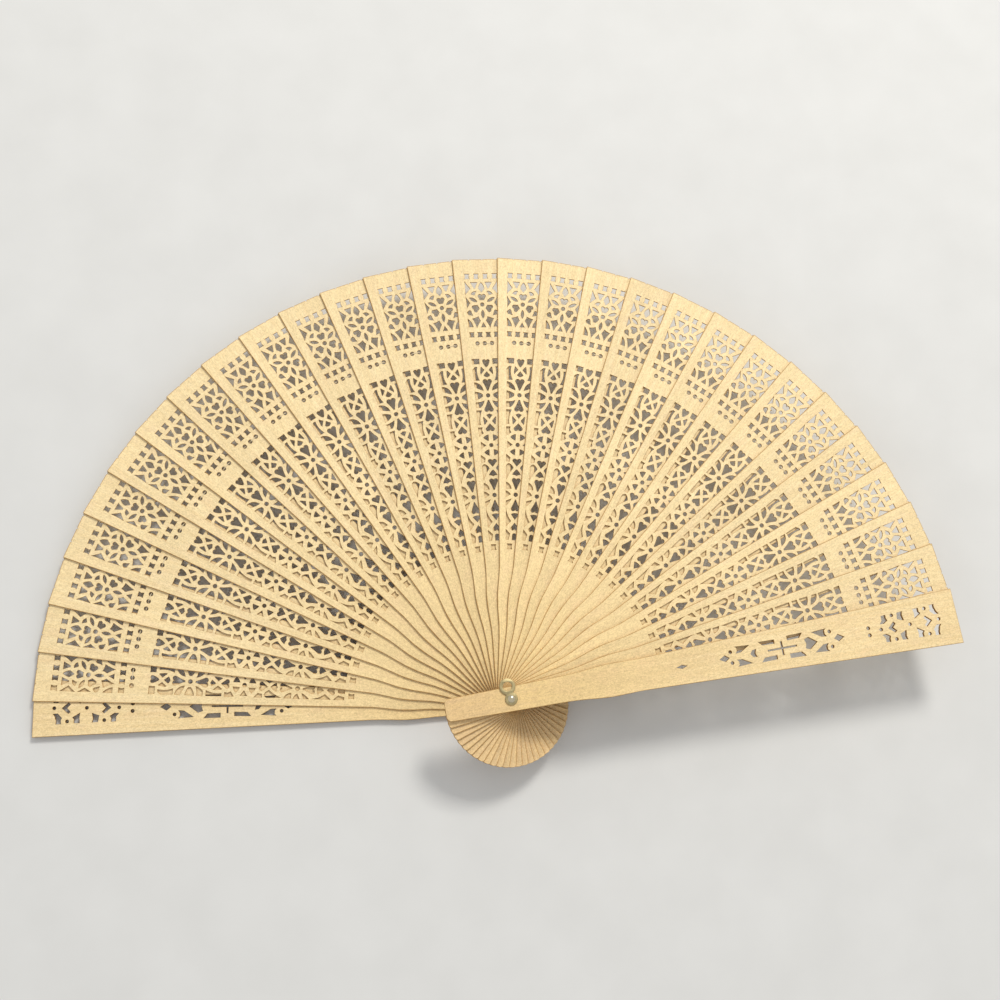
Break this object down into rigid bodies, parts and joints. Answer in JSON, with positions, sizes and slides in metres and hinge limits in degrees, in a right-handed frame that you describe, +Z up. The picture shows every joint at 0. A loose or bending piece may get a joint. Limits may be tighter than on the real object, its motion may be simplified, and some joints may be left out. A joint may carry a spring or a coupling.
{
  "type": "hand fan",
  "caption": "Folding hand fan of thin overlapping fretted wooden sticks between two thicker guards, turning on one rivet with a ring for a tassel.",
  "frame": {"origin": "centre of the rivet tail's flat end, on the rivet's axis, where the lowest part of the fan rests", "axes": "+Z up along the rivet from the back guard to the front guard, +Y along the middle of the open spread, +X towards the front guard's tip"},
  "size_m": [0.3486, 0.1988, 0.028],
  "materials": {
    "guard_wood": "fine sanded pale basswood with a close straight grain",
    "stick_wood": "thin pale basswood, matt, with tan cut edges",
    "rivet_metal": "bright nickel-plated dome",
    "washer_metal": "dull nickel plate",
    "lug_metal": "satin nickel plate",
    "thread": "cream twisted thread"
  },
  "bodies": {
    "back_guard": {"back_guard": "guard_wood", "rivet": "rivet_metal", "back_washer": "washer_metal", "lacing_thread": "thread"},
    "front_guard": {"front_guard": "guard_wood"},
    "ring_lug": {"ring_lug": "lug_metal"},
    "stick_01": {"stick_01": "stick_wood"},
    "stick_02": {"stick_02": "stick_wood"},
    "stick_03": {"stick_03": "stick_wood"},
    "stick_04": {"stick_04": "stick_wood"},
    "stick_05": {"stick_05": "stick_wood"},
    "stick_06": {"stick_06": "stick_wood"},
    "stick_07": {"stick_07": "stick_wood"},
    "stick_08": {"stick_08": "stick_wood"},
    "stick_09": {"stick_09": "stick_wood"},
    "stick_10": {"stick_10": "stick_wood"},
    "stick_11": {"stick_11": "stick_wood"},
    "stick_12": {"stick_12": "stick_wood"},
    "stick_13": {"stick_13": "stick_wood"},
    "stick_14": {"stick_14": "stick_wood"},
    "stick_15": {"stick_15": "stick_wood"},
    "stick_16": {"stick_16": "stick_wood"},
    "stick_17": {"stick_17": "stick_wood"},
    "stick_18": {"stick_18": "stick_wood"},
    "stick_19": {"stick_19": "stick_wood"},
    "stick_20": {"stick_20": "stick_wood"},
    "stick_21": {"stick_21": "stick_wood"},
    "stick_22": {"stick_22": "stick_wood"},
    "stick_23": {"stick_23": "stick_wood"},
    "stick_24": {"stick_24": "stick_wood"},
    "stick_25": {"stick_25": "stick_wood"},
    "stick_26": {"stick_26": "stick_wood"},
    "stick_27": {"stick_27": "stick_wood"},
    "stick_28": {"stick_28": "stick_wood"}
  },
  "joints": [
    {"name": "fan_spread", "type": "hinge", "parent": "back_guard", "child": "front_guard", "pos_m": [0, 0, 0], "axis": [0, 0, 1], "range_deg": [0, 170.32], "deforming": ["lacing_thread"]},
    {"name": "stick_01_turn", "type": "hinge", "parent": "back_guard", "child": "stick_01", "pos_m": [0, 0, 0], "axis": [0, 0, 1], "range_deg": [-0.01, 4.47]},
    {"name": "stick_02_turn", "type": "hinge", "parent": "back_guard", "child": "stick_02", "pos_m": [0, 0, 0], "axis": [0, 0, 1], "range_deg": [-0.01, 10.39]},
    {"name": "stick_03_turn", "type": "hinge", "parent": "back_guard", "child": "stick_03", "pos_m": [0, 0, 0], "axis": [0, 0, 1], "range_deg": [-0.01, 16.32]},
    {"name": "stick_04_turn", "type": "hinge", "parent": "back_guard", "child": "stick_04", "pos_m": [0, 0, 0], "axis": [0, 0, 1], "range_deg": [-0.01, 22.24]},
    {"name": "stick_05_turn", "type": "hinge", "parent": "back_guard", "child": "stick_05", "pos_m": [0, 0, 0], "axis": [0, 0, 1], "range_deg": [-0.01, 28.17]},
    {"name": "stick_06_turn", "type": "hinge", "parent": "back_guard", "child": "stick_06", "pos_m": [0, 0, 0], "axis": [0, 0, 1], "range_deg": [-0.01, 34.09]},
    {"name": "stick_07_turn", "type": "hinge", "parent": "back_guard", "child": "stick_07", "pos_m": [0, 0, 0], "axis": [0, 0, 1], "range_deg": [-0.01, 40.01]},
    {"name": "stick_08_turn", "type": "hinge", "parent": "back_guard", "child": "stick_08", "pos_m": [0, 0, 0], "axis": [0, 0, 1], "range_deg": [-0.01, 45.94]},
    {"name": "stick_09_turn", "type": "hinge", "parent": "back_guard", "child": "stick_09", "pos_m": [0, 0, 0], "axis": [0, 0, 1], "range_deg": [-0.01, 51.86]},
    {"name": "stick_10_turn", "type": "hinge", "parent": "back_guard", "child": "stick_10", "pos_m": [0, 0, 0], "axis": [0, 0, 1], "range_deg": [-0.01, 57.79]},
    {"name": "stick_11_turn", "type": "hinge", "parent": "back_guard", "child": "stick_11", "pos_m": [0, 0, 0], "axis": [0, 0, 1], "range_deg": [-0.01, 63.71]},
    {"name": "stick_12_turn", "type": "hinge", "parent": "back_guard", "child": "stick_12", "pos_m": [0, 0, 0], "axis": [0, 0, 1], "range_deg": [-0.01, 69.63]},
    {"name": "stick_13_turn", "type": "hinge", "parent": "back_guard", "child": "stick_13", "pos_m": [0, 0, 0], "axis": [0, 0, 1], "range_deg": [-0.01, 75.56]},
    {"name": "stick_14_turn", "type": "hinge", "parent": "back_guard", "child": "stick_14", "pos_m": [0, 0, 0], "axis": [0, 0, 1], "range_deg": [-0.01, 81.48]},
    {"name": "stick_15_turn", "type": "hinge", "parent": "back_guard", "child": "stick_15", "pos_m": [0, 0, 0], "axis": [0, 0, 1], "range_deg": [-0.01, 87.41]},
    {"name": "stick_16_turn", "type": "hinge", "parent": "back_guard", "child": "stick_16", "pos_m": [0, 0, 0], "axis": [0, 0, 1], "range_deg": [-0.01, 93.33]},
    {"name": "stick_17_turn", "type": "hinge", "parent": "back_guard", "child": "stick_17", "pos_m": [0, 0, 0], "axis": [0, 0, 1], "range_deg": [-0.01, 99.25]},
    {"name": "stick_18_turn", "type": "hinge", "parent": "back_guard", "child": "stick_18", "pos_m": [0, 0, 0], "axis": [0, 0, 1], "range_deg": [-0.01, 105.18]},
    {"name": "stick_19_turn", "type": "hinge", "parent": "back_guard", "child": "stick_19", "pos_m": [0, 0, 0], "axis": [0, 0, 1], "range_deg": [-0.01, 111.1]},
    {"name": "stick_20_turn", "type": "hinge", "parent": "back_guard", "child": "stick_20", "pos_m": [0, 0, 0], "axis": [0, 0, 1], "range_deg": [-0.01, 117.03]},
    {"name": "stick_21_turn", "type": "hinge", "parent": "back_guard", "child": "stick_21", "pos_m": [0, 0, 0], "axis": [0, 0, 1], "range_deg": [-0.01, 122.95]},
    {"name": "stick_22_turn", "type": "hinge", "parent": "back_guard", "child": "stick_22", "pos_m": [0, 0, 0], "axis": [0, 0, 1], "range_deg": [-0.01, 128.87]},
    {"name": "stick_23_turn", "type": "hinge", "parent": "back_guard", "child": "stick_23", "pos_m": [0, 0, 0], "axis": [0, 0, 1], "range_deg": [-0.01, 134.8]},
    {"name": "stick_24_turn", "type": "hinge", "parent": "back_guard", "child": "stick_24", "pos_m": [0, 0, 0], "axis": [0, 0, 1], "range_deg": [-0.01, 140.72]},
    {"name": "stick_25_turn", "type": "hinge", "parent": "back_guard", "child": "stick_25", "pos_m": [0, 0, 0], "axis": [0, 0, 1], "range_deg": [-0.01, 146.65]},
    {"name": "stick_26_turn", "type": "hinge", "parent": "back_guard", "child": "stick_26", "pos_m": [0, 0, 0], "axis": [0, 0, 1], "range_deg": [-0.01, 152.57]},
    {"name": "stick_27_turn", "type": "hinge", "parent": "back_guard", "child": "stick_27", "pos_m": [0, 0, 0], "axis": [0, 0, 1], "range_deg": [-0.01, 158.49]},
    {"name": "stick_28_turn", "type": "hinge", "parent": "back_guard", "child": "stick_28", "pos_m": [0, 0, 0], "axis": [0, 0, 1], "range_deg": [-0.01, 164.42]},
    {"name": "lug_swivel", "type": "hinge", "parent": "back_guard", "child": "ring_lug", "pos_m": [0, 0, 0], "axis": [0, 0, 1], "continuous": true}
  ],
  "couplings": [
    {"joint": "stick_01_turn", "follows": "fan_spread", "ratio": 0.026127},
    {"joint": "stick_02_turn", "follows": "fan_spread", "ratio": 0.060908},
    {"joint": "stick_03_turn", "follows": "fan_spread", "ratio": 0.095689},
    {"joint": "stick_04_turn", "follows": "fan_spread", "ratio": 0.13047},
    {"joint": "stick_05_turn", "follows": "fan_spread", "ratio": 0.16525},
    {"joint": "stick_06_turn", "follows": "fan_spread", "ratio": 0.20003},
    {"joint": "stick_07_turn", "follows": "fan_spread", "ratio": 0.23481},
    {"joint": "stick_08_turn", "follows": "fan_spread", "ratio": 0.26959},
    {"joint": "stick_09_turn", "follows": "fan_spread", "ratio": 0.30438},
    {"joint": "stick_10_turn", "follows": "fan_spread", "ratio": 0.33916},
    {"joint": "stick_11_turn", "follows": "fan_spread", "ratio": 0.37394},
    {"joint": "stick_12_turn", "follows": "fan_spread", "ratio": 0.40872},
    {"joint": "stick_13_turn", "follows": "fan_spread", "ratio": 0.4435},
    {"joint": "stick_14_turn", "follows": "fan_spread", "ratio": 0.47828},
    {"joint": "stick_15_turn", "follows": "fan_spread", "ratio": 0.51306},
    {"joint": "stick_16_turn", "follows": "fan_spread", "ratio": 0.54785},
    {"joint": "stick_17_turn", "follows": "fan_spread", "ratio": 0.58263},
    {"joint": "stick_18_turn", "follows": "fan_spread", "ratio": 0.61741},
    {"joint": "stick_19_turn", "follows": "fan_spread", "ratio": 0.65219},
    {"joint": "stick_20_turn", "follows": "fan_spread", "ratio": 0.68697},
    {"joint": "stick_21_turn", "follows": "fan_spread", "ratio": 0.72175},
    {"joint": "stick_22_turn", "follows": "fan_spread", "ratio": 0.75653},
    {"joint": "stick_23_turn", "follows": "fan_spread", "ratio": 0.79131},
    {"joint": "stick_24_turn", "follows": "fan_spread", "ratio": 0.82609},
    {"joint": "stick_25_turn", "follows": "fan_spread", "ratio": 0.86087},
    {"joint": "stick_26_turn", "follows": "fan_spread", "ratio": 0.89566},
    {"joint": "stick_27_turn", "follows": "fan_spread", "ratio": 0.93044},
    {"joint": "stick_28_turn", "follows": "fan_spread", "ratio": 0.96522}
  ]
}
